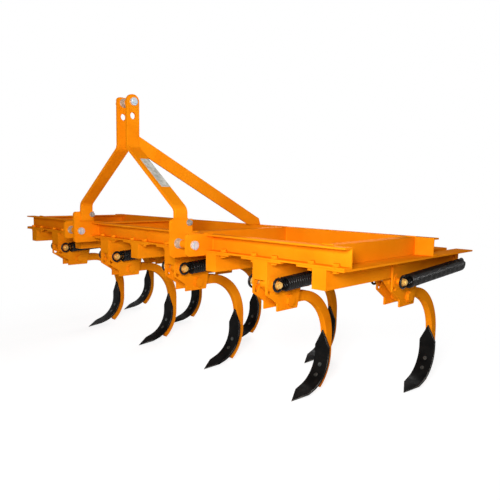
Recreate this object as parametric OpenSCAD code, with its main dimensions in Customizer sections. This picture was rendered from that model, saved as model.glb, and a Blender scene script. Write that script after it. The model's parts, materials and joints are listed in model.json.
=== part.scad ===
/* [Tyne layout] */
// Distance between neighbouring tyne lines across the machine
tyne_pitch = 230; // [215:1:260]
// Distance between the pivot bolts of the front and the rear row
row_gap = 362; // [340:1:420]
// Tynes in the front row, one fewer than in the rear row
front_tynes = 4; // [4:1:4]

/* [Tyne] */
// Width of the forged shank across the machine
shank_w = 25; // [20:0.5:28]
// Depth of the shank in its own plane
shank_t = 36; // [30:0.5:40]
// How far the shank's centre line lies below the pivot bolt where it leaves the bracket
shank_drop = 0; // [-4:0.5:8]
// Length from the pivot bolt to the start of the upper bend
shank_reach = 85; // [75:1:100]
// Radius of the upper bend, on the centre line
upper_bend_r = 169; // [150:1:180]
// Straight length between the two bends
shank_straight = 61; // [50:1:80]
// Radius of the lower bend, on the centre line
lower_bend_r = 140; // [125:1:150]
// Angle of the lower bend that the shank follows
shank_end_angle = 52; // [40:1:60]

/* [Shovel] */
// Width of the reversible shovel
shovel_w = 62; // [50:1:70]
// Thickness of the shovel
shovel_t = 8; // [6:0.5:10]
// Length of the point at either end
shovel_point = 60; // [45:1:75]
// Angle of the lower bend at which the shovel turns straight
shovel_end_angle = 75; // [70:1:78]
// Straight length from that bend to the tip
shovel_toe = 88; // [75:1:100]
// Height of the shovel's upper point above the middle of the upper bend
shovel_rise = 24; // [15:1:40]

/* [Tyne head and pivot] */
// Diameter of the pivot bolt
pivot_d = 20; // [16:0.5:22]
// Radius of the head round the pivot bolt
head_r = 24; // [22:0.5:26]
// Diameter of the pull pin that carries the two springs
pull_pin_d = 14; // [12:0.5:16]
// Distance of the pull pin in front of the pivot bolt
pull_pin_ahead = 84; // [76:0.5:86]
// Clearance between the pull pin and the angle irons above it
pull_pin_clear = 6; // [6:0.5:12]
// Radius of the head round the pull pin
pull_head_r = 16; // [14:0.5:17]
// Angle through which a tyne trips backwards
trip_angle = 15; // [10:1:16]

/* [Springs] */
// Outer diameter of the spring coils
spring_od = 42; // [36:1:44]
// Diameter of the spring wire
wire_d = 8; // [6:0.5:9]
// Distance of the spring's rear bolt behind the pivot bolt
anchor_back = 380; // [360:1:400]
// Height of the spring's rear bolt above the lower edge of the angle irons
anchor_in = 10; // [9:0.5:20]
// Diameter of the rear bolt
anchor_d = 14; // [12:0.5:16]

/* [Carriers] */
// Leg of the angle irons that carry each tyne
angle_leg = 65; // [55:1:70]
// Thickness of the angle irons
angle_t = 6; // [5:0.5:8]
// Clear width between the two angle irons of a tyne
carrier_gap = 38; // [32:0.5:44]
// Distance of the frame's underside above the pivot bolt
frame_up = 140; // [134:1:150]
// Reach of the angle irons in front of the front row's pivot bolts
carrier_ahead = 112; // [104:1:120]
// Thickness of the bracket plates
bracket_t = 6; // [5:0.5:8]
// Bottom edge of the bracket below the pivot bolt
bracket_drop = 30; // [29:1:36]
// Reach of the bracket's bottom edge in front of the pivot bolt
bracket_toe = 59; // [50:1:66]
// Reach of the bracket's bottom edge behind the pivot bolt
bracket_heel = 42; // [38:1:50]
// Length of the bracket's top edge behind the pivot bolt
bracket_back = 80; // [60:1:100]
// Height of the bracket's straight front edge, from the top down
bracket_brow = 104; // [96:1:108]

/* [Frame beams] */
// Height of the channel beams
beam_h = 62; // [55:1:75]
// Width of the channel flanges
beam_flange = 40; // [35:1:45]
// Thickness of the channel walls
beam_t = 6; // [5:0.5:8]
// Distance from the front pivot bolts back to the rear beam's web
rear_web_y = 422; // [400:1:460]
// Outer face of the end members, measured out from the outer tynes' lines
end_member_out = 18; // [10:1:30]
// Outer face of the inner members, measured out from the middle
inner_member_x = 345; // [330:1:346]

/* [Hitch] */
// Middle of each tall hitch plate, from the middle of the machine
link_inner_x = 341; // [336:1:350]
// Middle of each short hitch plate, from the middle of the machine
link_outer_x = 427; // [415:1:440]
// Thickness of the hitch plates and of the mast bars
plate_t = 12; // [10:0.5:14]
// Reach of the hitch plates in front of the front row's pivot bolts
hitch_ahead = 195; // [185:1:210]
// Distance of the lower link pins in front of the front row's pivot bolts
link_ahead = 164; // [155:1:168]
// Depth of the lower link pins below the frame's top
link_down = 36; // [32:1:40]
// Diameter of the lower link pins
link_pin_d = 28; // [22:1:30]
// Height of the tall hitch plates above the frame's top
hitch_plate_up = 48; // [40:1:60]
// Depth of the tall hitch plates below the frame's underside
hitch_plate_down = 24; // [18:1:30]

/* [Mast] */
// Width of the mast bars fore and aft
mast_w = 55; // [50:1:60]
// Clear gap between the mast bars at the top
mast_gap = 54; // [50:0.5:60]
// Height of the lower top-link hole above the lower link pins
mast_lower = 465; // [455:1:470]
// Distance between the two top-link holes
mast_hole_gap = 53; // [45:1:60]
// Diameter of the top-link holes
top_hole_d = 25.7; // [19:0.1:26]
// Height at which the mast bars start to part, above the lower link pins
mast_split = 345; // [320:1:360]
// Height of the outer bend of the mast bars, above the lower link pins
mast_knee = 118; // [105:1:130]
// Thickness of the rear brace
brace_t = 10; // [8:0.5:12]
// Depth of the rear brace in its own plane
brace_w = 52; // [46:1:60]
// Sideways offset of the brace's foot on the rear beam
brace_foot_x = 150; // [130:1:165]

/* [Hidden] */
$fn = 48;
eps = 0.01;
running_fit = 0.05;
loop_gap = 0.3;
slot_room = 1.5;
plate_corner = 12;
pin_head_ratio = 1.2;
cut_room = 200;
mast_step = 6;
bracket_chin = 4;
mast_bend_r = 30;
bend_steps = 6;
brace_toe = 9;
brace_toe_h = 28;
paint = "orange";

// Tynes 1 to 4 stand in the front row and 5 to 9 in the rear row, each from left to right
tyne_x = [for (i = [0:front_tynes - 1]) (2 * i - front_tynes + 1) * tyne_pitch,
          for (i = [0:front_tynes]) (2 * i - front_tynes) * tyne_pitch];
tyne_y = [for (i = [1:front_tynes]) 0, for (i = [0:front_tynes]) row_gap];
front_row = [0:front_tynes - 1];
rear_row = [front_tynes:2 * front_tynes];

// Tyne shape, measured from the pivot bolt in the plane of the tyne
upper_c = [shank_reach, -shank_drop - upper_bend_r];
lower_c = [shank_reach + upper_bend_r - lower_bend_r, upper_c[1] - shank_straight];
shovel_r = lower_bend_r - shank_t / 2;
toe_start = lower_c + shovel_r * [cos(shovel_end_angle), -sin(shovel_end_angle)];
toe_dir = [-sin(shovel_end_angle), -cos(shovel_end_angle)];
tip = toe_start + shovel_toe * toe_dir;
pivot_h = -tip[1];

// Heights of the frame
beam_z = pivot_h + frame_up;
beam_top = beam_z + beam_h;
link_z = beam_top - link_down;
front_web_y = -carrier_ahead + beam_flange;
carrier_half = carrier_gap / 2 + angle_leg;
beam_half = front_tynes * tyne_pitch + carrier_half;
carrier_tail = anchor_back + 20;
rear_end = row_gap + carrier_tail;
y_mid = (rear_end - hitch_ahead) / 2;
bracket_out = carrier_gap / 2 + angle_t + bracket_t;
spring_x = bracket_out + 1.5 + spring_od / 2;
loop_r = (spring_od - wire_d) / 2;
leg_z = frame_up - angle_t;
leg_bottom = frame_up - angle_leg;
pull_pin = [-pull_pin_ahead, leg_bottom - pull_pin_clear - pull_pin_d / 2];
anchor_up = leg_bottom + anchor_in;
mast_upper = mast_lower + mast_hole_gap;
mast_top = link_z + mast_upper + mast_w / 2;

module place() {
    translate([0, -y_mid, 0]) children();
}

module at_tyne(i) {
    place() translate([tyne_x[i], tyne_y[i], pivot_h]) children();
}

// Stands an outline drawn in the fore-and-aft plane up, w wide across the machine
module across(w, x = 0) {
    translate([x - w / 2, 0, 0]) rotate([90, 0, 90]) linear_extrude(w) children();
}

module cross_bar(d, l, x = 0) {
    translate([x - l / 2, 0, 0]) rotate([0, 90, 0]) cylinder(d = d, h = l);
}

// Part of a flat ring between two angles that lie less than 180 degrees apart
module arc_band(r_in, r_out, a0, a1) {
    far = 2 * r_out;
    am = (a0 + a1) / 2;
    intersection() {
        difference() {
            circle(r_out, $fn = 96);
            circle(r_in, $fn = 96);
        }
        polygon([[0, 0], far * [cos(a0), sin(a0)], far * [cos(am), sin(am)], far * [cos(a1), sin(a1)]]);
    }
}

module channel_outline() {
    difference() {
        square([beam_flange, beam_h]);
        translate([beam_t, beam_t]) square([beam_flange, beam_h - 2 * beam_t]);
    }
}

// Beam across the machine, its flanges pointing backwards
module cross_channel() {
    across(2 * beam_half) channel_outline();
}

module front_beam() {
    color(paint) place() translate([0, front_web_y, beam_z]) mirror([0, 1, 0]) cross_channel();
}

module rear_beam() {
    color(paint) place() translate([0, rear_web_y, beam_z]) cross_channel();
}

// Fore-and-aft channel between the beams' webs, its web face outwards
module fore_aft_channel(side, face_x) {
    color(paint) place() mirror([side < 0 ? 1 : 0, 0, 0])
        translate([face_x, front_web_y, beam_z]) mirror([1, 0, 0]) rotate([90, 0, 180])
            mirror([1, 0, 0]) linear_extrude(rear_web_y - front_web_y) channel_outline();
}

module hitch_plates(side) {
    back = front_web_y - beam_t;
    color(paint) place() mirror([side < 0 ? 1 : 0, 0, 0]) {
        difference() {
            across(plate_t, link_inner_x) tall_plate_outline(back);
            translate([0, -link_ahead, link_z]) cross_bar(link_pin_d, 3 * plate_t, link_inner_x);
            beam_cut();
        }
        difference() {
            across(plate_t, link_outer_x) short_plate_outline(back);
            translate([0, -link_ahead, link_z]) cross_bar(link_pin_d, 3 * plate_t, link_outer_x);
            beam_cut();
        }
    }
}

// Space that the front beam fills, cut out of the plates that fit round it
module beam_cut() {
    translate([0, front_web_y, beam_z]) mirror([0, 1, 0]) cross_channel();
    translate([0, front_web_y, beam_z]) rotate([90, 0, 90]) translate([0, 0, -beam_half])
        linear_extrude(2 * beam_half) square([beam_flange, beam_h]);
}

module tall_plate_outline(back) {
    top = beam_top + hitch_plate_up;
    low = beam_z - hitch_plate_down;
    rear_edge = plate_corner - carrier_ahead;
    rounded_front([-hitch_ahead, low], [rear_edge, top], plate_corner);
    translate([rear_edge - 1, low]) square([back + 38 - rear_edge, beam_top - low]);
}

// Rectangle whose two corners on its low side in the first direction are rounded
module rounded_front(low, high, r) {
    translate([low[0] + r, low[1]]) square([high[0] - low[0] - r, high[1] - low[1]]);
    translate([low[0], low[1] + r]) square([2 * r, high[1] - low[1] - 2 * r]);
    for (z = [low[1] + r, high[1] - r]) translate([low[0] + r, z]) circle(r);
}

function mast_front() = carrier_ahead + mast_w + 0.5;

module short_plate_outline(back) {
    half = link_down + 2;
    rounded_front([-hitch_ahead, link_z - half], [-carrier_ahead, link_z + half], plate_corner);
    translate([-carrier_ahead - eps, beam_z]) square([carrier_ahead + back + eps, beam_h]);
}

// Pin pushed in from the right, with its head there and room for a lynch pin at the other end
module link_pin(side) {
    middle = side * (link_inner_x + link_outer_x) / 2;
    half = (link_outer_x - link_inner_x + plate_t) / 2;
    color("silver") place() translate([middle, -link_ahead, link_z]) headed_pin(link_pin_d, half);
}

// Pin through two plates whose outer faces lie half away from its middle
module headed_pin(d, half) {
    head = d / 4;
    tail = d;
    difference() {
        union() {
            cross_bar(d, 2 * half + tail, -tail / 2);
            cross_bar(pin_head_ratio * d, head, half + head / 2);
        }
        translate([-half - 0.6 * tail, 0, -d]) cylinder(d = d / 3, h = 2 * d);
    }
    translate([-half - tail / 8, 0, 0]) difference() {
        cross_bar(1.4 * d, tail / 4);
        cross_bar(d, tail);
    }
}

function arc_points(c, r, a0, a1) =
    [for (i = [0:bend_steps]) c + r * [cos(a0 + (a1 - a0) * i / bend_steps), sin(a0 + (a1 - a0) * i / bend_steps)]];

// Mast bar seen from the front, from its upright foot through two bends to its upright top
module mast_path() {
    h = plate_t / 2;
    r = mast_bend_r;
    top_x = mast_gap / 2 + h;
    foot_x = link_inner_x - plate_t;
    z_foot = beam_top + 8;
    lean = atan2(foot_x - top_x, mast_split - mast_knee);
    knee = [foot_x - r, link_z + mast_knee - r * tan(lean / 2)];
    split = [top_x + r, link_z + mast_split + r * tan(lean / 2)];
    polygon(concat(
        [[foot_x - h, z_foot], [foot_x + h, z_foot]],
        arc_points(knee, r + h, 0, lean), arc_points(split, r - h, 180 + lean, 180),
        [[top_x + h, mast_top], [top_x - h, mast_top]],
        arc_points(split, r + h, 180, 180 + lean), arc_points(knee, r - h, lean, 0)));
}

module mast_bar(side) {
    y0 = -mast_front();
    z_top = mast_top - (side < 0 ? mast_step : 0);
    r = mast_w * (side < 0 ? 0.25 : 0.48);
    color(paint) place() mirror([side < 0 ? 1 : 0, 0, 0]) difference() {
        intersection() {
            translate([0, y0 + mast_w, 0]) rotate([90, 0, 0]) linear_extrude(mast_w) mast_path();
            across(2 * link_outer_x) {
                translate([y0, beam_z]) square([mast_w, z_top - r - beam_z]);
                translate([y0 + r, z_top - 2 * r]) square([mast_w - 2 * r, 2 * r]);
                for (y = [y0 + r, y0 + mast_w - r]) translate([y, z_top - r]) circle(r);
            }
        }
        for (z = [mast_lower, mast_upper])
            translate([0, y0 + mast_w / 2, link_z + z])
                cross_bar(top_hole_d, 3 * plate_t, mast_gap / 2 + plate_t / 2);
    }
}

module top_pin() {
    color("silver") place() translate([0, -mast_front() + mast_w / 2, link_z + mast_upper])
        headed_pin(top_hole_d, mast_gap / 2 + plate_t);
}

// Flat bar from the right mast bar's rear edge down onto the rear beam's flange
module rear_brace() {
    start = [mast_gap / 2 + plate_t / 2, -mast_front() + mast_w];
    foot = [brace_foot_x, rear_web_y + beam_flange];
    run = norm(foot - start);
    turn = atan2(foot[0] - start[0], foot[1] - start[1]);
    z_up = link_z + mast_split + 45;
    slope = (z_up - beam_top - brace_toe_h) / (run - brace_toe);
    depth = brace_w * sqrt(1 + slope * slope);
    color(paint) place() difference() {
        translate([start[0], start[1], 0]) rotate([0, 0, -turn]) across(brace_t)
            polygon([
                [-brace_t, z_up + slope * brace_t], [run - brace_toe, beam_top + brace_toe_h], [run, beam_top],
                [(z_up - depth - beam_top) / slope, beam_top], [-brace_t, z_up - depth + slope * brace_t]]);
        translate([0, start[1] - cut_room, link_z]) cube([cut_room, cut_room, 2 * mast_upper]);
    }
}

// Two angle irons, the bracket plates, the rear lugs and the stop of one tyne, welded together
module carrier(i) {
    front = -carrier_ahead - tyne_y[i];
    length = carrier_tail - front;
    web = carrier_gap + 2 * eps;
    color(paint) at_tyne(i) {
        for (s = [0, 1]) mirror([s, 0, 0]) {
            difference() {
                union() {
                    translate([carrier_gap / 2, front, leg_bottom]) cube([angle_t, length, angle_leg]);
                    translate([carrier_gap / 2, front, leg_z]) cube([angle_leg, length, angle_t]);
                    across(bracket_t, bracket_out - bracket_t / 2) lug_outline();
                }
                translate([0, anchor_back, anchor_up]) cross_bar(anchor_d, 3 * bracket_out);
            }
            difference() {
                across(bracket_t, bracket_out - bracket_t / 2) bracket_outline();
                cross_bar(pivot_d, 3 * bracket_t, bracket_out);
                across(3 * bracket_t, bracket_out) pull_slot();
            }
        }
        translate([-web / 2, front, leg_bottom]) cube([web, angle_t, angle_leg]);
        stop_bar();
    }
}

module bracket_outline() {
    polygon([
        [-carrier_ahead, leg_z], [-carrier_ahead, leg_z - bracket_brow], [-bracket_toe, -bracket_chin],
        [-bracket_toe, -bracket_drop], [bracket_heel, -bracket_drop], [bracket_back, leg_z]]);
}

// Slot in which the pull pin swings as the tyne trips
module pull_slot() {
    r = norm(pull_pin);
    a = atan2(pull_pin[1], pull_pin[0]);
    half = pull_pin_d / 2 + slot_room;
    waist = half - running_fit;
    arc_band(r - waist, r + waist, a, a + trip_angle);
    for (b = [a, a + trip_angle]) translate(r * [cos(b), sin(b)]) circle(half);
}

module lug_outline() {
    r = 16;
    translate([anchor_back, anchor_up]) circle(r);
    translate([anchor_back - r, anchor_up]) square([2 * r, leg_z - anchor_up]);
}

// Bar under the shank on which the tyne rests
module stop_bar() {
    width = carrier_gap + 2 * angle_t + 2 * eps;
    length = 14;
    translate([-width / 2, bracket_heel - length, -bracket_drop])
        cube([width, length, bracket_drop - head_r]);
}

module shank_outline() {
    half = shank_t / 2;
    arm = atan2(pull_pin[1], pull_pin[0]);
    reach = norm(pull_pin);
    arm_half = head_r - 1;
    arm_end = pull_head_r - 1;
    difference() {
        union() {
            circle(head_r);
            translate(pull_pin) circle(pull_head_r);
            rotate(arm) polygon([[0, arm_half], [0, -arm_half], [reach, -arm_end], [reach, arm_end]]);
            translate([0, -head_r]) square([shank_reach / 2 + 3, head_r + half - shank_drop]);
            translate([shank_reach / 2, -shank_drop - half]) square([shank_reach / 2 + eps, shank_t]);
            translate(upper_c) arc_band(upper_bend_r - half, upper_bend_r + half, 0, 90);
            translate([upper_c[0] + upper_bend_r - half, lower_c[1] - eps])
                square([shank_t, shank_straight + 2 * eps]);
            translate(lower_c) arc_band(lower_bend_r - half, lower_bend_r + half, -shank_end_angle, 0);
        }
        circle(d = pivot_d + 2 * running_fit);
        translate(pull_pin) circle(d = pull_pin_d);
    }
}

module tyne(i) {
    boss_half = carrier_gap / 2 + angle_t - 0.5;
    color(paint) at_tyne(i) {
        across(shank_w) shank_outline();
        difference() {
            cross_bar(2 * head_r - 8, 2 * boss_half);
            cross_bar(pivot_d + 2 * running_fit, 3 * boss_half);
        }
    }
}

// Cross pin with the front loops of the two springs hooked on it
module pull_pin_node(i) {
    end = spring_x + wire_d / 2 + 6;
    color("silver") at_tyne(i) translate([0, pull_pin[0], pull_pin[1]]) cross_bar(pull_pin_d, 2 * end);
    color([0.1, 0.1, 0.1]) at_tyne(i)
        for (s = [-1, 1])
            translate([s * spring_x, loop_y(), pull_pin[1]]) rotate([0, 90, 0]) wire_loop();
}

function loop_y() = pull_pin[0] + loop_r - wire_d / 2 - pull_pin_d / 2 - loop_gap;
function anchor_loop_y() = anchor_back - loop_r + wire_d / 2 + anchor_d / 2 + loop_gap;

module wire_loop() {
    rotate_extrude() translate([loop_r, 0]) circle(d = wire_d, $fn = 24);
}

module shovel_outline() {
    upper_r = upper_bend_r - shank_t / 2;
    side = [toe_dir[1], -toe_dir[0]];
    tongue = toe_start + shovel_t / 2 * side - 3 * toe_dir;
    union() {
        translate(upper_c) arc_band(upper_r - shovel_t, upper_r, 0, 60);
        translate([upper_c[0] + upper_r - shovel_t, lower_c[1] - eps])
            square([shovel_t, shank_straight + 2 * eps]);
        translate(lower_c) arc_band(shovel_r - shovel_t, shovel_r, -shovel_end_angle, 0);
        polygon([tongue, toe_start + shovel_t * side, tip + 0.3 * shovel_t * side, tip, toe_start]);
    }
}

module shovel(i) {
    top_z = upper_c[1] + shovel_rise;
    shoulder_z = top_z - shovel_point;
    half = shovel_w / 2;
    rear = upper_c[0] + 2 * upper_bend_r;
    color([0.12, 0.12, 0.12]) at_tyne(i) intersection() {
        across(shovel_w) shovel_outline();
        translate([0, rear, 0]) rotate([90, 0, 0]) linear_extrude(rear + cut_room)
            polygon([
                [-half, -pivot_h - shovel_t], [half, -pivot_h - shovel_t],
                [half, shoulder_z], [0, top_z], [-half, shoulder_z]]);
        translate([0, 0, -pivot_h - shovel_t]) linear_extrude(pivot_h + cut_room)
            polygon([
                [0, tip[0]], [half, tip[0] + shovel_point],
                [half, rear], [-half, rear], [-half, tip[0] + shovel_point]]);
    }
}

// Coils of the two springs of one tyne, each with the rear loop that hooks round the rear bolt
module spring_pair(i) {
    front = [loop_y() + loop_r + wire_d / 2 + 0.5, pull_pin[1]];
    back = [anchor_loop_y() - loop_r, anchor_up];
    rise = atan2(back[1] - front[1], back[0] - front[0]);
    coils = norm(back - front);
    at_tyne(i) for (s = [-1, 1]) {
        translate([s * spring_x, front[0], front[1]]) rotate([rise - 90, 0, 0]) difference() {
            cylinder(d = spring_od, h = coils);
            translate([0, 0, -1]) cylinder(d = spring_od - 2 * wire_d, h = coils + 2);
        }
        translate([s * spring_x, anchor_loop_y(), anchor_up]) rotate([0, 90, 0]) wire_loop();
    }
}

module springs(row) {
    color([0.1, 0.1, 0.1]) for (i = row) spring_pair(i);
}

module pivot_bolts() {
    half = bracket_out;
    color("silver") for (i = [0:2 * front_tynes]) at_tyne(i) {
        cross_bar(pivot_d, 2 * half);
        for (s = [-1, 1]) cross_bar(pivot_d + 12, 8, s * (half + 4));
    }
}

module anchor_bolts() {
    end = spring_x + wire_d / 2 + 6;
    color("silver") for (i = [0:2 * front_tynes]) at_tyne(i)
        translate([0, anchor_back, anchor_up]) cross_bar(anchor_d, 2 * end);
}

front_beam();
rear_beam();
fore_aft_channel(-1, front_tynes * tyne_pitch + end_member_out);  // end_member_left
fore_aft_channel(1, front_tynes * tyne_pitch + end_member_out);  // end_member_right
fore_aft_channel(-1, inner_member_x);  // inner_member_left
fore_aft_channel(1, inner_member_x);  // inner_member_right
hitch_plates(-1);  // hitch_plates_left
hitch_plates(1);  // hitch_plates_right
link_pin(-1);  // link_pin_left
link_pin(1);  // link_pin_right
mast_bar(-1);  // mast_bar_left
mast_bar(1);  // mast_bar_right
top_pin();
rear_brace();
springs(front_row);  // springs_front
springs(rear_row);  // springs_rear
pivot_bolts();
anchor_bolts();
for (i = [0:2 * front_tynes]) {
    carrier(i);
    tyne(i);
    pull_pin_node(i);
    shovel(i);
}
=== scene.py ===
import json
import math
import bpy
from mathutils import Matrix, Vector


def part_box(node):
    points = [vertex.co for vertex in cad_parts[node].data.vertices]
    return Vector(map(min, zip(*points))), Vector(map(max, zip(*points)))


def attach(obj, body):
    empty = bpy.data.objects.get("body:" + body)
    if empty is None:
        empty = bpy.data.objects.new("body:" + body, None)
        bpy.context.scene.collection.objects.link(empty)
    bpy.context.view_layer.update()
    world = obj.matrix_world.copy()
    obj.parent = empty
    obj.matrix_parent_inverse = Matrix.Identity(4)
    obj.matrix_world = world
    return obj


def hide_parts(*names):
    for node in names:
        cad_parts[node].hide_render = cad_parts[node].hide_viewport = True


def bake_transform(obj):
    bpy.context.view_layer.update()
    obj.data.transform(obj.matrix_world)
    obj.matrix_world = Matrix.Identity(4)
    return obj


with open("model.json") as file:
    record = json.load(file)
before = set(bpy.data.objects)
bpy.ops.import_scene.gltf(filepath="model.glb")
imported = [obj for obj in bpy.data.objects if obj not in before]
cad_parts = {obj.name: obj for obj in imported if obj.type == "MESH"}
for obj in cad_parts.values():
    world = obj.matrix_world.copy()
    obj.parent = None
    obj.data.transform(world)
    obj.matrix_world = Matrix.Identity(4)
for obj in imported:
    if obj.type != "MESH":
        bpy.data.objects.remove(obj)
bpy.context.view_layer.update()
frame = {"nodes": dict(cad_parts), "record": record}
nodes = frame["nodes"]


def boxOf(name):
    low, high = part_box(name)
    return Vector(low), Vector(high)


# Every tyne hangs on its own trip joint, so the joints give the pivots
pivots = {}
for joint in frame["record"]["behaviour"]["joints"]:
    pivots[int(joint["name"].split("_")[1])] = Vector(joint["pos_m"])
tyneNumbers = sorted(pivots)
beamWall = 0.006
frontLow, frontHigh = boxOf("front_beam")
rearHigh = boxOf("rear_beam")[1]
print("frame loaded, pivots of", len(pivots), "tynes")


# Finishes. Colours are linear, and a noise scale counts its patches in a metre.

def startMaterial(name, rough, metal=0.0, gloss=0.5):
    mat = bpy.data.materials.new(name)
    mat.use_nodes = True
    tree = mat.node_tree
    shader = tree.nodes["Principled BSDF"]
    shader.inputs["Roughness"].default_value = rough
    shader.inputs["Metallic"].default_value = metal
    shader.inputs["Specular IOR Level"].default_value = gloss
    coords = tree.nodes.new("ShaderNodeTexCoord").outputs["Object"]
    return mat, tree, shader, coords


def addNoise(tree, coords, scale, detail=3.0):
    noise = tree.nodes.new("ShaderNodeTexNoise")
    noise.inputs["Scale"].default_value = scale
    noise.inputs["Detail"].default_value = detail
    noise.inputs["Roughness"].default_value = 0.5
    tree.links.new(coords, noise.inputs["Vector"])
    return noise.outputs["Fac"]


def addRamp(tree, fac, stops):
    ramp = tree.nodes.new("ShaderNodeValToRGB")
    while len(ramp.color_ramp.elements) < len(stops):
        ramp.color_ramp.elements.new(0.5)
    for element, (place, colour) in zip(ramp.color_ramp.elements, stops):
        element.position = place
        element.color = (*colour, 1)
    tree.links.new(fac, ramp.inputs["Fac"])
    return ramp.outputs["Color"]


def addMask(tree, fac, darkAt, whiteAt):
    stops = [(darkAt, (0, 0, 0)), (whiteAt, (1, 1, 1))]
    return addRamp(tree, fac, sorted(stops))


def mixColours(tree, fac, a, b, mode="MIX"):
    mix = tree.nodes.new("ShaderNodeMix")
    mix.data_type = "RGBA"
    mix.blend_type = mode
    for socket, value in ((mix.inputs["Factor"], fac), (mix.inputs["A"], a), (mix.inputs["B"], b)):
        if isinstance(value, (int, float)):
            socket.default_value = value
        elif isinstance(value, tuple):
            socket.default_value = (*value, 1)
        else:
            tree.links.new(value, socket)
    return mix.outputs["Result"]


def addBump(tree, shader, height, strength, distance):
    bump = tree.nodes.new("ShaderNodeBump")
    bump.inputs["Strength"].default_value = strength
    bump.inputs["Distance"].default_value = distance
    tree.links.new(height, bump.inputs["Height"])
    tree.links.new(bump.outputs["Normal"], shader.inputs["Normal"])


# The edge colour tints what a flange mirrors at a low angle, which keeps it from going white
paintLook = {
    "main": (0.80, 0.228, 0.0035),
    "deep": (0.76, 0.195, 0.0030),
    "pale": (0.84, 0.262, 0.0060),
    "edge": (0.9, 0.35, 0.05),
    "metal": 0.08,
    "gloss": 0.0,
    "cloudScale": 7.0,
    "speckScale": 220.0,
    "bump": 0.35,
}


def orangePaint(name, bumpScale, bumpDepth, rough):
    look = paintLook
    mat, tree, shader, coords = startMaterial(name, rough, look["metal"], look["gloss"])
    shader.inputs["Specular Tint"].default_value = (*look["edge"], 1)
    cloud = addNoise(tree, coords, look["cloudScale"])
    colour = addRamp(tree, cloud, [(0.3, look["deep"]), (0.5, look["main"]), (0.72, look["pale"])])
    dust = addMask(tree, addNoise(tree, coords, look["speckScale"], 2.0), 0.62, 0.75)
    tree.links.new(mixColours(tree, dust, colour, look["deep"]), shader.inputs["Base Color"])
    addBump(tree, shader, addNoise(tree, coords, bumpScale, 4.0), look["bump"], bumpDepth)
    return mat


springLook = {
    "dark": (0.004, 0.004, 0.004),
    "light": (0.010, 0.009, 0.008),
    "rough": 0.20,
    "gloss": 0.15,
    "cloudScale": 40.0,
    "bump": (500.0, 0.08, 0.0002),  # scale, strength, depth
}


def blackSpringSteel():
    look = springLook
    mat, tree, shader, coords = startMaterial("springBlack", look["rough"], gloss=look["gloss"])
    cloud = addNoise(tree, coords, look["cloudScale"])
    colour = addRamp(tree, cloud, [(0.35, look["dark"]), (0.7, look["light"])])
    tree.links.new(colour, shader.inputs["Base Color"])
    scale, strength, depth = look["bump"]
    addBump(tree, shader, addNoise(tree, coords, scale), strength, depth)
    return mat


# Where soil has rubbed an edge, the black is gone and bare steel shows
shovelLook = {
    "dark": (0.003, 0.003, 0.003),
    "middle": (0.007, 0.0065, 0.006),
    "light": (0.02, 0.02, 0.018),
    "bare": (0.22, 0.21, 0.19),
    "rough": 0.40,
    "gloss": 0.03,
    "cloudScale": 25.0,
    "wearWidth": 0.0035,
    "patchScale": 14.0,
    "bump": (160.0, 0.4, 0.0006),  # scale, strength, depth
}


def edgeWear(tree, coords, width, patchScale):
    rounded = tree.nodes.new("ShaderNodeBevel")
    rounded.samples = 4
    rounded.inputs["Radius"].default_value = width
    flat = tree.nodes.new("ShaderNodeNewGeometry").outputs["True Normal"]
    agree = tree.nodes.new("ShaderNodeVectorMath")
    agree.operation = "DOT_PRODUCT"
    tree.links.new(rounded.outputs["Normal"], agree.inputs[0])
    tree.links.new(flat, agree.inputs[1])
    edge = addMask(tree, agree.outputs["Value"], 0.985, 0.90)
    patches = addMask(tree, addNoise(tree, coords, patchScale), 0.42, 0.62)
    return mixColours(tree, 1.0, edge, patches, "MULTIPLY")


def shovelSteel():
    look = shovelLook
    mat, tree, shader, coords = startMaterial("shovelBlack", look["rough"], gloss=look["gloss"])
    cloud = addNoise(tree, coords, look["cloudScale"], 5.0)
    colour = addRamp(tree, cloud, [(0.35, look["dark"]), (0.65, look["middle"]), (0.8, look["light"])])
    wear = edgeWear(tree, coords, look["wearWidth"], look["patchScale"])
    tree.links.new(mixColours(tree, wear, colour, look["bare"]), shader.inputs["Base Color"])
    scale, strength, depth = look["bump"]
    addBump(tree, shader, addNoise(tree, coords, scale, 5.0), strength, depth)
    return mat


def plainSilver(name, dark, light, rough, metal):
    mat, tree, shader, coords = startMaterial(name, rough, metal)
    cloud = addNoise(tree, coords, 60.0, 4.0)
    tree.links.new(addRamp(tree, cloud, [(0.35, dark), (0.65, light)]), shader.inputs["Base Color"])
    return mat


def platedSteel(name, dark, light, rough, metal):
    mat, tree, shader, coords = startMaterial(name, rough, metal)
    cloud = addNoise(tree, coords, 120.0, 4.0)
    tree.links.new(addRamp(tree, cloud, [(0.35, dark), (0.7, light)]), shader.inputs["Base Color"])
    addBump(tree, shader, addNoise(tree, coords, 700.0, 2.0), 0.25, 0.0002)
    return mat


framePaint = orangePaint("framePaint", 260.0, 0.0004, 0.25)
forgedPaint = orangePaint("forgedPaint", 90.0, 0.0012, 0.36)
weldPaint = orangePaint("weldPaint", 400.0, 0.0006, 0.38)
springBlack = blackSpringSteel()
shovelBlack = shovelSteel()
silverBand = plainSilver("plainBand", (0.30, 0.29, 0.24), (0.56, 0.55, 0.50), 0.38, 0.2)
wornSteel = platedSteel("wornSteel", (0.018, 0.019, 0.018), (0.075, 0.078, 0.070), 0.32, 0.4)
brightZinc = platedSteel("brightZinc", (0.40, 0.47, 0.53), (0.64, 0.71, 0.77), 0.34, 0.35)
greyZinc = platedSteel("greyZinc", (0.22, 0.21, 0.19), (0.42, 0.41, 0.38), 0.38, 0.35)
dullSteel = platedSteel("dullSteel", (0.30, 0.22, 0.16), (0.50, 0.40, 0.31), 0.45, 0.0)
yellowZinc = platedSteel("yellowZinc", (0.60, 0.33, 0.07), (0.86, 0.54, 0.16), 0.32, 0.4)
print("finishes made")


# Geometry Nodes trees for bars, weld beads and bolts

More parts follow.
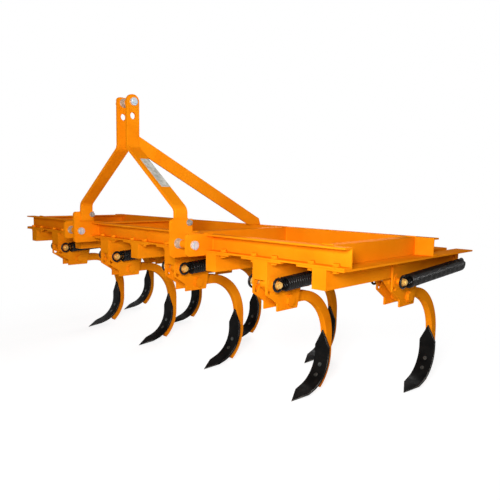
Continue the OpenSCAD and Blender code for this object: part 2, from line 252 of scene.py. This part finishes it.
def newTree(name, inputs):
    tree = bpy.data.node_groups.new(name, "GeometryNodeTree")
    face = tree.interface
    face.new_socket("Geometry", in_out="INPUT", socket_type="NodeSocketGeometry")
    face.new_socket("Geometry", in_out="OUTPUT", socket_type="NodeSocketGeometry")
    for label, kind, value in inputs:
        socket = face.new_socket(label, in_out="INPUT", socket_type=kind)
        if value is not None:
            socket.default_value = value
    return tree, tree.nodes.new("NodeGroupInput"), tree.nodes.new("NodeGroupOutput")


def finishTree(tree, geometry, groupIn, groupOut):
    realize = tree.nodes.new("GeometryNodeRealizeInstances")
    setMat = tree.nodes.new("GeometryNodeSetMaterial")
    tree.links.new(geometry, realize.inputs["Geometry"])
    tree.links.new(realize.outputs["Geometry"], setMat.inputs["Geometry"])
    tree.links.new(groupIn.outputs["Material"], setMat.inputs["Material"])
    tree.links.new(setMat.outputs["Geometry"], groupOut.inputs["Geometry"])


def mathNode(tree, operation, *values):
    node = tree.nodes.new("ShaderNodeMath")
    node.operation = operation
    for socket, value in zip(node.inputs, values):
        if isinstance(value, float):
            socket.default_value = value
        else:
            tree.links.new(value, socket)
    return node.outputs[0]


# Sweeps a round profile along the mesh's edges
def makeRoundBarTree():
    tree, groupIn, groupOut = newTree("roundBar", [
        ("Bar Radius", "NodeSocketFloat", 0.004),
        ("Sides", "NodeSocketInt", 8),
        ("Material", "NodeSocketMaterial", None),
    ])
    n, link = tree.nodes, tree.links.new
    toCurve = n.new("GeometryNodeMeshToCurve")
    profile = n.new("GeometryNodeCurvePrimitiveCircle")
    sweep = n.new("GeometryNodeCurveToMesh")
    sweep.inputs["Fill Caps"].default_value = True
    smooth = n.new("GeometryNodeSetShadeSmooth")
    link(groupIn.outputs["Geometry"], toCurve.inputs["Mesh"])
    link(groupIn.outputs["Sides"], profile.inputs["Resolution"])
    link(groupIn.outputs["Bar Radius"], profile.inputs["Radius"])
    link(toCurve.outputs["Curve"], sweep.inputs["Curve"])
    link(profile.outputs["Curve"], sweep.inputs["Profile Curve"])
    link(sweep.outputs["Mesh"], smooth.inputs["Geometry"])
    finishTree(tree, smooth.outputs["Geometry"], groupIn, groupOut)
    return tree


# A bar whose thickness swells and shrinks along its length, as the ripples of a weld do
def makeWeldTree():
    tree, groupIn, groupOut = newTree("weldBead", [
        ("Bead Radius", "NodeSocketFloat", 0.004),
        ("Ripple Pitch", "NodeSocketFloat", 0.004),
        ("Ripple Depth", "NodeSocketFloat", 0.14),
        ("Material", "NodeSocketMaterial", None),
    ])
    n, link = tree.nodes, tree.links.new
    toCurve = n.new("GeometryNodeMeshToCurve")
    resample = n.new("GeometryNodeResampleCurve")
    resample.mode = "LENGTH"
    parameter = n.new("GeometryNodeSplineParameter")
    profile = n.new("GeometryNodeCurvePrimitiveCircle")
    profile.inputs["Resolution"].default_value = 8
    sweep = n.new("GeometryNodeCurveToMesh")
    sweep.inputs["Fill Caps"].default_value = True
    smooth = n.new("GeometryNodeSetShadeSmooth")
    pitch = groupIn.outputs["Ripple Pitch"]
    ripples = mathNode(tree, "DIVIDE", parameter.outputs["Length"], pitch)
    wave = mathNode(tree, "SINE", mathNode(tree, "MULTIPLY", ripples, 2 * math.pi))
    swell = mathNode(tree, "MULTIPLY_ADD", wave, groupIn.outputs["Ripple Depth"], 1.0)
    link(groupIn.outputs["Geometry"], toCurve.inputs["Mesh"])
    link(toCurve.outputs["Curve"], resample.inputs["Curve"])
    link(mathNode(tree, "MULTIPLY", pitch, 0.25), resample.inputs["Length"])  # four rings to a ripple
    link(groupIn.outputs["Bead Radius"], profile.inputs["Radius"])
    link(resample.outputs["Curve"], sweep.inputs["Curve"])
    link(profile.outputs["Curve"], sweep.inputs["Profile Curve"])
    link(swell, sweep.inputs["Scale"])
    link(sweep.outputs["Mesh"], smooth.inputs["Geometry"])
    finishTree(tree, smooth.outputs["Geometry"], groupIn, groupOut)
    return tree


# A washer, a hexagon and the end of a thread on every point, turned to its "axis" attribute
def makeBoltTree():
    tree, groupIn, groupOut = newTree("hexBolts", [
        ("Head Radius", "NodeSocketFloat", 0.011),
        ("Head Height", "NodeSocketFloat", 0.008),
        ("Washer Radius", "NodeSocketFloat", 0.014),
        ("Washer Thickness", "NodeSocketFloat", 0.002),
        ("Thread Radius", "NodeSocketFloat", 0.006),
        ("Thread Stub", "NodeSocketFloat", 0.0),
        ("Material", "NodeSocketMaterial", None),
    ])
    n, link = tree.nodes, tree.links.new

    def disc(vertices, radius, depth, lift):
        cyl = n.new("GeometryNodeMeshCylinder")
        cyl.inputs["Vertices"].default_value = vertices
        link(radius, cyl.inputs["Radius"])
        link(depth, cyl.inputs["Depth"])
        move = n.new("GeometryNodeTransform")
        combine = n.new("ShaderNodeCombineXYZ")
        link(lift, combine.inputs["Z"])
        link(combine.outputs[0], move.inputs["Translation"])
        link(cyl.outputs["Mesh"], move.inputs["Geometry"])
        return move.outputs["Geometry"]

    washer, head = groupIn.outputs["Washer Thickness"], groupIn.outputs["Head Height"]
    stub = mathNode(tree, "ADD", head, groupIn.outputs["Thread Stub"])
    washerLift = mathNode(tree, "MULTIPLY", washer, 0.5)
    headLift = mathNode(tree, "ADD", washer, mathNode(tree, "MULTIPLY", head, 0.5))
    stubLift = mathNode(tree, "ADD", washer, mathNode(tree, "MULTIPLY", stub, 0.5))
    join = n.new("GeometryNodeJoinGeometry")
    link(disc(24, groupIn.outputs["Washer Radius"], washer, washerLift), join.inputs["Geometry"])
    link(disc(6, groupIn.outputs["Head Radius"], head, headLift), join.inputs["Geometry"])
    link(disc(16, groupIn.outputs["Thread Radius"], stub, stubLift), join.inputs["Geometry"])
    toPoints = n.new("GeometryNodeMeshToPoints")
    axis = n.new("GeometryNodeInputNamedAttribute")
    axis.data_type = "FLOAT_VECTOR"
    axis.inputs["Name"].default_value = "axis"
    align = n.new("FunctionNodeAlignRotationToVector")
    align.axis = "Z"
    instance = n.new("GeometryNodeInstanceOnPoints")
    link(axis.outputs["Attribute"], align.inputs["Vector"])
    link(groupIn.outputs["Geometry"], toPoints.inputs["Mesh"])
    link(toPoints.outputs["Points"], instance.inputs["Points"])
    link(join.outputs["Geometry"], instance.inputs["Instance"])
    link(align.outputs["Rotation"], instance.inputs["Rotation"])
    finishTree(tree, instance.outputs["Instances"], groupIn, groupOut)
    return tree


roundBarTree = makeRoundBarTree()
weldTree = makeWeldTree()
boltTree = makeBoltTree()
print("trees built")


def inputId(tree, label):
    for item in tree.interface.items_tree:
        if item.name == label and getattr(item, "in_out", "") == "INPUT":
            return item.identifier
    raise KeyError(label)


def pathMesh(name, paths):
    mesh = bpy.data.meshes.new(name)
    verts, edges = [], []
    for path in paths:
        start = len(verts)
        verts += [tuple(p) for p in path]
        edges += [(start + i, start + i + 1) for i in range(len(path) - 1)]
    mesh.from_pydata(verts, edges, [])
    return mesh


# Runs a tree on a mesh and keeps the result as a plain mesh
def runTree(name, source, tree, settings):
    raw = bpy.data.objects.new(name + "Raw", source)
    bpy.context.scene.collection.objects.link(raw)
    mod = raw.modifiers.new("make", "NODES")
    mod.node_group = tree
    for label, value in settings.items():
        mod[inputId(tree, label)] = value
    graph = bpy.context.evaluated_depsgraph_get()
    mesh = bpy.data.meshes.new_from_object(raw.evaluated_get(graph), depsgraph=graph)
    mesh.name = name
    bpy.data.objects.remove(raw)
    piece = bpy.data.objects.new(name, mesh)
    bpy.context.scene.collection.objects.link(piece)
    return piece


# The CAD nodes take their slot's finish and a rounded edge; the tynes are forgings, rounder and rougher
slotFinish = {
    "frame_paint": framePaint,
    "spring_black": springBlack,
    "shovel_black": shovelBlack,
    "bright_steel": brightZinc,
    "pin_yellow": yellowZinc,
}
edgeRound = {
    "frame_paint": 0.0012,
    "shovel_black": 0.0012,
    "bright_steel": 0.0010,
    "pin_yellow": 0.0012,
    "forging": 0.0065,
    "segments": 3,
    "sharpAbove": 40,  # degrees between two faces
    "mergeWithin": 0.00002,
}
slotOf = {entry["node"]: entry["material_slot"] for entry in frame["record"]["subparts"]}
for nodeName, piece in nodes.items():
    forged = nodeName.startswith("tyne_")
    piece.data.materials.clear()
    piece.data.materials.append(forgedPaint if forged else slotFinish[slotOf[nodeName]])
    rounding = edgeRound["forging"] if forged else edgeRound.get(slotOf[nodeName])
    if rounding:
        weld = piece.modifiers.new("weld", "WELD")
        weld.merge_threshold = edgeRound["mergeWithin"]
        bevel = piece.modifiers.new("roundEdges", "BEVEL")
        bevel.width = rounding
        bevel.segments = edgeRound["segments"]
        bevel.limit_method = "ANGLE"
        bevel.angle_limit = math.radians(edgeRound["sharpAbove"])
        bevel.harden_normals = False
print("CAD nodes dressed")


# Springs: a pair to each tyne, from the pull pin back to the anchor bolt.
# Places are from the tyne's pivot; "back" is +Y and "up" is +Z.
springSizes = {
    "wire": 0.0041,
    "wireSides": 8,
    "coil": 0.020,
    "side": 0.0535,
    "bodySide": 0.0570,
    "frontBack": -0.084,
    "frontUp": 0.062,
    "rearBack": 0.3713,
    "rearUp": 0.085,
    "pitch": 0.0108,
    "pointsPerTurn": 16,
    "loopHalf": 150,  # degrees that an end loop opens to each side
    "loopDetail": 1.5,
    "loopLead": 0.6,  # wire radii between an end loop and the first turn
    "bendBack": 0.09,
    "bendFront": -0.062,
}


def springPath(pivot, sign):
    s = springSizes
    front = pivot + Vector((sign * s["side"], s["frontBack"], s["frontUp"]))
    rear = pivot + Vector((sign * s["side"], s["rearBack"], s["rearUp"]))
    along = (rear - front).normalized()
    out = Vector((sign, 0, 0))
    up = along.cross(out) * sign
    if up.z < 0:
        up = -up
    r, steps, half = s["coil"], s["pointsPerTurn"], math.radians(s["loopHalf"])
    path = []

    def loop(centre, away, first, last):
        count = int(abs(last - first) / (2 * math.pi) * steps * s["loopDetail"])
        for i in range(count + 1):
            a = first + (last - first) * i / count
            path.append(centre + r * (math.cos(a) * away + math.sin(a) * up))

    loop(front, -along, -half, half)
    shift = out * (s["bodySide"] - s["side"])
    lead = r + s["wire"] * s["loopLead"]
    begin = front + along * lead + shift
    end = rear - along * lead + shift
    length = (end - begin).length
    total = round(length / s["pitch"]) * steps
    for i in range(total + 1):
        a = 2 * math.pi * i / steps + math.radians(90)
        path.append(begin + along * (length * i / total) + r * (math.sin(a) * up + math.cos(a) * out))
    loop(rear, along, half, -half)
    return path


for number in tyneNumbers:
    pivot = pivots[number]
    paths = [springPath(pivot, sign) for sign in (-1, 1)]
    springs = runTree("springs_%d" % number, pathMesh("springs", paths), roundBarTree, {
        "Bar Radius": springSizes["wire"],
        "Sides": springSizes["wireSides"],
        "Material": springBlack,
    })
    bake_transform(springs)
    if number == 1:
        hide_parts("springs_front")
    if number == 5:
        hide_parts("springs_rear")
print("springs wound")


# Bolts, nuts, washers and rods

def boltPiece(name, places, body, settings):
    mesh = bpy.data.meshes.new(name)
    mesh.from_pydata([tuple(place) for place, axis in places], [], [])
    attribute = mesh.attributes.new("axis", "FLOAT_VECTOR", "POINT")
    for i, (place, axis) in enumerate(places):
        attribute.data[i].vector = axis
    piece = runTree(name, mesh, boltTree, {key: value for key, value in settings.items() if key != "Slot"})
    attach(piece, body)
    return piece


def rodPiece(name, path, body, settings):
    rod = runTree(name, pathMesh("rod", [path]), roundBarTree, {
        "Bar Radius": settings["radius"],
        "Sides": settings["sides"],
        "Material": settings["finish"],
    })
    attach(rod, body)
    return rod


# The same place on the left and right of a point, each facing outwards
def bothSides(middle, sideways):
    return [(middle + Vector((sign * sideways, 0, 0)), (sign, 0, 0)) for sign in (-1, 1)]


# Painted bolts that clamp the brackets' angles under the beams, a head above and a nut below
carrierBolts = {
    "sideways": 0.044,
    "inFlange": 0.019,
    "head": {
        "Head Radius": 0.0105, "Head Height": 0.0065,
        "Washer Radius": 0.0125, "Washer Thickness": 0.0020,
        "Thread Radius": 0.006, "Thread Stub": -0.0015,
        "Material": framePaint, "Slot": "frame_paint",
    },
}
places = []
for number in tyneNumbers:
    for sign in (-1, 1):
        x = pivots[number].x + sign * carrierBolts["sideways"]
        for y in (frontLow.y + carrierBolts["inFlange"], rearHigh.y - carrierBolts["inFlange"]):
            places.append((Vector((x, y, frontLow.z + beamWall)), (0, 0, 1)))
            places.append((Vector((x, y, frontLow.z - beamWall)), (0, 0, -1)))
boltPiece("carrierBolts", places, "frame", carrierBolts["head"])

pivotBolts = {
    "sideways": 0.0311,
    "head": {
        "Head Radius": 0.0188, "Head Height": 0.0080,
        "Washer Radius": 0.0205, "Washer Thickness": 0.0020,
        "Thread Radius": 0.010, "Thread Stub": -0.003,
        "Material": framePaint, "Slot": "frame_paint",
    },
    "nut": {
        "Head Radius": 0.0188, "Head Height": 0.0110,
        "Washer Radius": 0.0200, "Washer Thickness": 0.0015,
        "Thread Radius": 0.010, "Thread Stub": 0.007,
        "Material": framePaint, "Slot": "frame_paint",
    },
}
aside = Vector((pivotBolts["sideways"], 0, 0))
boltPiece("pivotHeads", [(pivots[n] + aside, (1, 0, 0)) for n in tyneNumbers], "frame", pivotBolts["head"])
boltPiece("pivotNuts", [(pivots[n] - aside, (-1, 0, 0)) for n in tyneNumbers], "frame", pivotBolts["nut"])

anchorNuts = {
    "sideways": 0.0576,
    "back": 0.380,
    "nut": {
        "Head Radius": 0.0100, "Head Height": 0.0050,
        "Washer Radius": 0.0125, "Washer Thickness": 0.0018,
        "Thread Radius": 0.0070, "Thread Stub": 0.0,
        "Material": springBlack, "Slot": "spring_black",
    },
}
places = []
for number in tyneNumbers:
    middle = pivots[number] + Vector((0, anchorNuts["back"], springSizes["rearUp"]))
    places += bothSides(middle, anchorNuts["sideways"])
boltPiece("anchorNuts", places, "frame", anchorNuts["nut"])

# Two plough bolts hold each shovel; their places are angles on the arc of the shovel's hollow face
ploughBolts = {
    "angles": (-22, -42),
    "centre": (0.114, -0.230),
    "radius": 0.114,
    "head": {
        "Head Radius": 0.0055, "Head Height": 0.0012,
        "Washer Radius": 0.0075, "Washer Thickness": 0.0016,
        "Thread Radius": 0.004, "Thread Stub": -0.0005,
        "Material": wornSteel, "Slot": "shovel_black",
    },
}
for number in tyneNumbers:
    centre = pivots[number] + Vector((0, *ploughBolts["centre"]))
    places = []
    for degrees in ploughBolts["angles"]:
        a = math.radians(degrees)
        out = Vector((0, math.cos(a), math.sin(a)))
        places.append((centre + out * ploughBolts["radius"], tuple(-out)))
    boltPiece("ploughBolts_%d" % number, places, "tyne_body_%d" % number, ploughBolts["head"])

# One bolt through the foot of each mast bar and its tall hitch plate; both heads face right
plateBolts = {
    "y": -0.3995,
    "z": 0.608,
    "right": 0.347,
    "left": -0.323,
    "head": {
        "Head Radius": 0.0100, "Head Height": 0.0070,
        "Washer Radius": 0.0115, "Washer Thickness": 0.0020,
        "Thread Radius": 0.006, "Thread Stub": -0.002,
        "Material": greyZinc, "Slot": "bright_steel",
    },
}
places = []
for key in ("left", "right"):
    places.append((Vector((plateBolts[key], plateBolts["y"], plateBolts["z"])), (1, 0, 0)))
boltPiece("plateBolts", places, "frame", plateBolts["head"])

# Painted pins of the three-point hitch, each with a bright head and a dull collar.
# "from", "to" and "collar" are places along the machine.
hitchPins = {
    "link_pin_left": {
        "label": "linkPinLeft", "from": -0.461, "to": -0.334, "collar": -0.421,
        "y": -0.4475, "z": 0.5366, "radius": 0.014,
    },
    "link_pin_right": {
        "label": "linkPinRight", "from": 0.307, "to": 0.434, "collar": 0.347,
        "y": -0.4475, "z": 0.5366, "radius": 0.014,
    },
    "top_pin": {
        "label": "topPin", "from": -0.0647, "to": 0.040, "collar": -0.027,
        "y": -0.4235, "z": 1.0546, "radius": 0.0125,
    },
}
pinParts = {
    "headInset": 0.001,
    "head": {
        "Head Radius": 0.0105, "Head Height": 0.0020,
        "Washer Radius": 0.0150, "Washer Thickness": 0.0080,
        "Thread Radius": 0.004, "Thread Stub": -0.0010,
        "Material": brightZinc, "Slot": "bright_steel",
    },
    "collar": {
        "Head Radius": 0.0165, "Head Height": 0.0080,
        "Washer Radius": 0.0175, "Washer Thickness": 0.0020,
        "Thread Radius": 0.0146, "Thread Stub": 0.0150,
        "Material": dullSteel, "Slot": "bright_steel",
    },
}
for name, pin in hitchPins.items():
    first, last, collar = (Vector((pin[key], pin["y"], pin["z"])) for key in ("from", "to", "collar"))
    settings = {"radius": pin["radius"], "sides": 32, "finish": framePaint, "slot": "frame_paint"}
    rod = rodPiece(pin["label"] + "Rod", [first, (first + last) / 2, last], "frame", settings)
    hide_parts(name)
    headPlace = last - Vector((pinParts["headInset"], 0, 0))
    boltPiece(pin["label"] + "Head", [(headPlace, (1, 0, 0))], "frame", pinParts["head"])
    boltPiece(pin["label"] + "Collar", [(collar, (1, 0, 0))], "frame", pinParts["collar"])

# Yellow pull pins in the tynes' heads, with a bush and nut inside each spring's front loop
pullPins = {
    "back": -0.084,
    "up": 0.062,
    "reach": 0.0575,
    "bush": 0.0480,
    "rod": {"radius": 0.007, "sides": 24, "finish": yellowZinc, "slot": "pin_yellow"},
    "nut": {
        "Head Radius": 0.0105, "Head Height": 0.0065,
        "Washer Radius": 0.0118, "Washer Thickness": 0.0100,
        "Thread Radius": 0.0070, "Thread Stub": 0.0020,
        "Material": yellowZinc, "Slot": "pin_yellow",
    },
}
# Washers that ride on the pull pin and cover the slots in the bracket's plates
slotWashers = {
    "sideways": 0.0325,
    "disc": {
        "Head Radius": 0.0050, "Head Height": 0.0010,
        "Washer Radius": 0.0260, "Washer Thickness": 0.0020,
        "Thread Radius": 0.0100, "Thread Stub": 0.0130,
        "Material": framePaint, "Slot": "frame_paint",
    },
}
reach = Vector((pullPins["reach"], 0, 0))
for number in tyneNumbers:
    body = "tyne_body_%d" % number
    middle = pivots[number] + Vector((0, pullPins["back"], pullPins["up"]))
    rod = rodPiece("pullRod_%d" % number, [middle - reach, middle, middle + reach], body, pullPins["rod"])
    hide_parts("pull_pin_%d" % number)
    nutPlaces = bothSides(middle, pullPins["bush"])
    boltPiece("pullNuts_%d" % number, nutPlaces, body, pullPins["nut"])
    discPlaces = bothSides(middle, slotWashers["sideways"])
    boltPiece("slotWashers_%d" % number, discPlaces, body, slotWashers["disc"])
print("bolts set")


# Plain silver band on the right-hand mast bar; "from" and "to" are shares of the bar's slope
bandSizes = {
    "foot": (0.335, 0.6576),
    "top": (0.039, 0.8846),
    "from": 0.33,
    "to": 0.79,
    "y": (-0.4375, -0.3975),
    "under": 0.0004,
    "over": 0.0005,
}


def mastBand():
    foot, top = (Vector((x, 0, z)) for x, z in (bandSizes["foot"], bandSizes["top"]))
    out = Vector((top.z - foot.z, 0, foot.x - top.x)).normalized()
    verts = []
    for lift in (-bandSizes["under"], bandSizes["over"]):
        for share in (bandSizes["from"], bandSizes["to"]):
            for y in bandSizes["y"]:
                verts.append(tuple(foot.lerp(top, share) + out * lift + Vector((0, y, 0))))
    faces = [(0, 1, 3, 2), (4, 6, 7, 5), (0, 4, 5, 1), (2, 3, 7, 6), (0, 2, 6, 4), (1, 5, 7, 3)]
    mesh = bpy.data.meshes.new("mastBand")
    mesh.from_pydata(verts, [], faces)
    mesh.materials.append(silverBand)
    band = bpy.data.objects.new("mastBand", mesh)
    bpy.context.scene.collection.objects.link(band)
    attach(band, "frame")


mastBand()
print("band laid")


# Welds
weldSizes = {"ripplePitch": 0.0045, "rippleDepth": 0.16, "members": 0.0032, "plates": 0.0030}


def weldPiece(name, paths, body, radius):
    piece = runTree(name, pathMesh(name, paths), weldTree, {
        "Bead Radius": radius,
        "Ripple Pitch": weldSizes["ripplePitch"],
        "Ripple Depth": weldSizes["rippleDepth"],
        "Material": weldPaint,
    })
    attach(piece, body)
    return piece


# Up the outer side and over the top, at both ends of each fore-and-aft member
def memberSeams():
    paths = []
    for name in ("end_member_left", "end_member_right", "inner_member_left", "inner_member_right"):
        low, high = boxOf(name)
        outer, other = (low.x, high.x) if name.endswith("left") else (high.x, low.x)
        for y in (low.y, high.y):
            paths.append([(outer, y, low.z), (outer, y, high.z), (other, y, high.z)])
    return paths


# Under the angles, along the top of each bracket plate; places are from the tyne's pivot
carrierSeamSizes = {"sideways": 0.031, "front": -0.110, "back": 0.078, "up": 0.134}


def carrierSeams():
    s = carrierSeamSizes
    paths = []
    for number in tyneNumbers:
        for sign in (-1, 1):
            x, y, z = pivots[number] + Vector((sign * s["sideways"], 0, s["up"]))
            paths.append([(x, y + s["front"], z), (x, y + s["back"], z)])
    return paths


# "tall" and "short" are the middles of the hitch plates, "mastFront" and "mastBack" the bar's edges
hitchSeamSizes = {
    "tall": 0.341,
    "short": 0.427,
    "half": 0.006,
    "mastFront": -0.451,
    "mastBack": -0.396,
    "foot": 0.010,
    "top": 0.6206,
}


def hitchSeams():
    s = hitchSeamSizes
    webFront = frontHigh.y - beamWall
    paths = []
    for sign in (-1, 1):
        for middle in (s["tall"], s["short"]):
            for face in (-s["half"], s["half"]):
                x = sign * (middle + face)
                web = (frontLow.z + beamWall, frontHigh.z - beamWall)
                paths.append([(x, webFront, z) for z in web])
                paths.append([(x, frontLow.y, frontHigh.z), (x, webFront, frontHigh.z)])
        x = sign * (s["tall"] - s["half"])
        for y in (s["mastFront"], s["mastBack"]):
            paths.append([(x, y, frontHigh.z + s["foot"]), (x, y, s["top"])])
        paths.append([(x, s["mastFront"], s["top"]), (x, s["mastBack"], s["top"])])
    return paths


weldPiece("memberWelds", memberSeams(), "frame", weldSizes["members"])
weldPiece("carrierWelds", carrierSeams(), "frame", weldSizes["plates"])
weldPiece("hitchWelds", hitchSeams(), "frame", weldSizes["plates"])
print("welds laid")


# The camera stands at the front right, a little above the beams, tilted down and slightly rolled
photoCamera = {
    "place": (1.821, -1.6085, 0.720),
    "azimuth": 44.08,
    "pitch": 6.22,
    "roll": 1.02,
    "lens": 38.5,
}


def placeCamera():
    azimuth, pitch, roll = (math.radians(photoCamera[key]) for key in ("azimuth", "pitch", "roll"))
    right = Vector((math.cos(azimuth), math.sin(azimuth), 0))
    level = Vector((-math.sin(azimuth), math.cos(azimuth), 0))
    ahead = level * math.cos(pitch) - Vector((0, 0, 1)) * math.sin(pitch)
    over = level * math.sin(pitch) + Vector((0, 0, 1)) * math.cos(pitch)
    camX = right * math.cos(roll) + over * math.sin(roll)
    camY = over * math.cos(roll) - right * math.sin(roll)
    data = bpy.data.cameras.new("photoCamera")
    data.sensor_width = 36.0
    data.lens = photoCamera["lens"]
    camera = bpy.data.objects.new("photoCamera", data)
    bpy.context.scene.collection.objects.link(camera)
    turn = Matrix((camX, camY, -ahead)).transposed().to_4x4()
    camera.matrix_world = Matrix.Translation(photoCamera["place"]) @ turn
    bpy.context.scene.camera = camera


placeCamera()


# 1 for the kinds of ray that are to see the pale backdrop itself, 0 for the rest
def seenBy(tree, kinds):
    path = tree.nodes.new("ShaderNodeLightPath")
    seen = path.outputs[kinds[0]]
    for kind in kinds[1:]:
        seen = mathNode(tree, "MAXIMUM", seen, path.outputs[kind])
    return seen


# The floor shows near white, keeps a share of the object's shadow and fades to plain white far off
floorWhite = {
    "half": 30,
    "dark": (0.58, 0.58, 0.58),
    "light": (0.60, 0.60, 0.60),
    "rough": 0.95,
    "shadowShare": 0.55,
    "glow": 0.82,
    "fadeFrom": 0.9,
    "fadeTo": 1.6,
}


def floorLook():
    look = floorWhite
    mat, tree, shader, coords = startMaterial("floorWhite", look["rough"], gloss=0.0)
    n, link = tree.nodes, tree.links.new

    def glow(strength):
        node = n.new("ShaderNodeEmission")
        node.inputs["Strength"].default_value = strength
        return node.outputs[0]

    def mixShaders(share, first, second):
        node = n.new("ShaderNodeMixShader")
        if isinstance(share, float):
            node.inputs["Fac"].default_value = share
        else:
            link(share, node.inputs["Fac"])
        link(first, node.inputs[1])
        link(second, node.inputs[2])
        return node.outputs[0]

    cloud = addNoise(tree, coords, 2.0)
    link(addRamp(tree, cloud, [(0.3, look["dark"]), (0.7, look["light"])]), shader.inputs["Base Color"])
    distance = n.new("ShaderNodeVectorMath")
    distance.operation = "LENGTH"
    link(coords, distance.inputs[0])
    fade = n.new("ShaderNodeMapRange")
    fade.interpolation_type = "SMOOTHSTEP"
    fade.inputs["From Min"].default_value = look["fadeFrom"]
    fade.inputs["From Max"].default_value = look["fadeTo"]
    link(distance.outputs["Value"], fade.inputs["Value"])
    lit = shader.outputs[0]
    near = n.new("ShaderNodeAddShader")
    link(mixShaders(look["shadowShare"], glow(0.0), lit), near.inputs[0])
    link(glow(look["glow"]), near.inputs[1])
    shown = mixShaders(fade.outputs["Result"], near.outputs[0], glow(1.0))
    whole = mixShaders(seenBy(tree, ("Is Camera Ray", "Is Glossy Ray")), lit, shown)
    link(whole, n["Material Output"].inputs["Surface"])
    return mat


def layFloor():
    half = floorWhite["half"]
    corners = [(-half, -half, 0), (half, -half, 0), (half, half, 0), (-half, half, 0)]
    mesh = bpy.data.meshes.new("floor")
    mesh.from_pydata(corners, [], [(0, 1, 2, 3)])
    mesh.materials.append(floorLook())
    floor = bpy.data.objects.new("floor", mesh)
    bpy.context.scene.collection.objects.link(floor)


layFloor()

# The world lights the object at a low level and shows white behind it
worldLevel = 0.10


def studioWorld():
    world = bpy.data.worlds.new("studio")
    bpy.context.scene.world = world
    world.use_nodes = True
    tree = world.node_tree
    back = tree.nodes["Background"]
    back.inputs["Color"].default_value = (1, 1, 1, 1)
    strength = tree.nodes.new("ShaderNodeMapRange")
    strength.inputs["To Min"].default_value = worldLevel
    strength.inputs["To Max"].default_value = 1.0
    seen = seenBy(tree, ("Is Camera Ray", "Is Glossy Ray", "Is Transmission Ray"))
    tree.links.new(seen, strength.inputs["Value"])
    tree.links.new(strength.outputs["Result"], back.inputs["Strength"])


studioWorld()

lamps = {
    "keyFront": {"place": (1.72, -1.78, 1.0), "aim": (0.3, -0.2, 0.4), "size": 0.5, "power": 58},
    "fillAbove": {"place": (1.5, -1.5, 3.0), "aim": (0.4, -0.1, 0.3), "size": 2.2, "power": 15},
    "fillBehind": {"place": (-1.4, 2.6, 1.5), "aim": (0, 0, 0.35), "size": 1.6, "power": 55},
}
for name, lamp in lamps.items():
    data = bpy.data.lights.new(name, "AREA")
    data.shape = "RECTANGLE"
    data.size = data.size_y = lamp["size"]
    data.energy = lamp["power"]
    light = bpy.data.objects.new(name, data)
    bpy.context.scene.collection.objects.link(light)
    light.location = lamp["place"]
    light.rotation_mode = "QUATERNION"
    light.rotation_quaternion = (Vector(lamp["aim"]) - Vector(lamp["place"])).to_track_quat("-Z", "Y")
bpy.context.scene.view_settings.view_transform = "Standard"
print("camera, floor and light set")
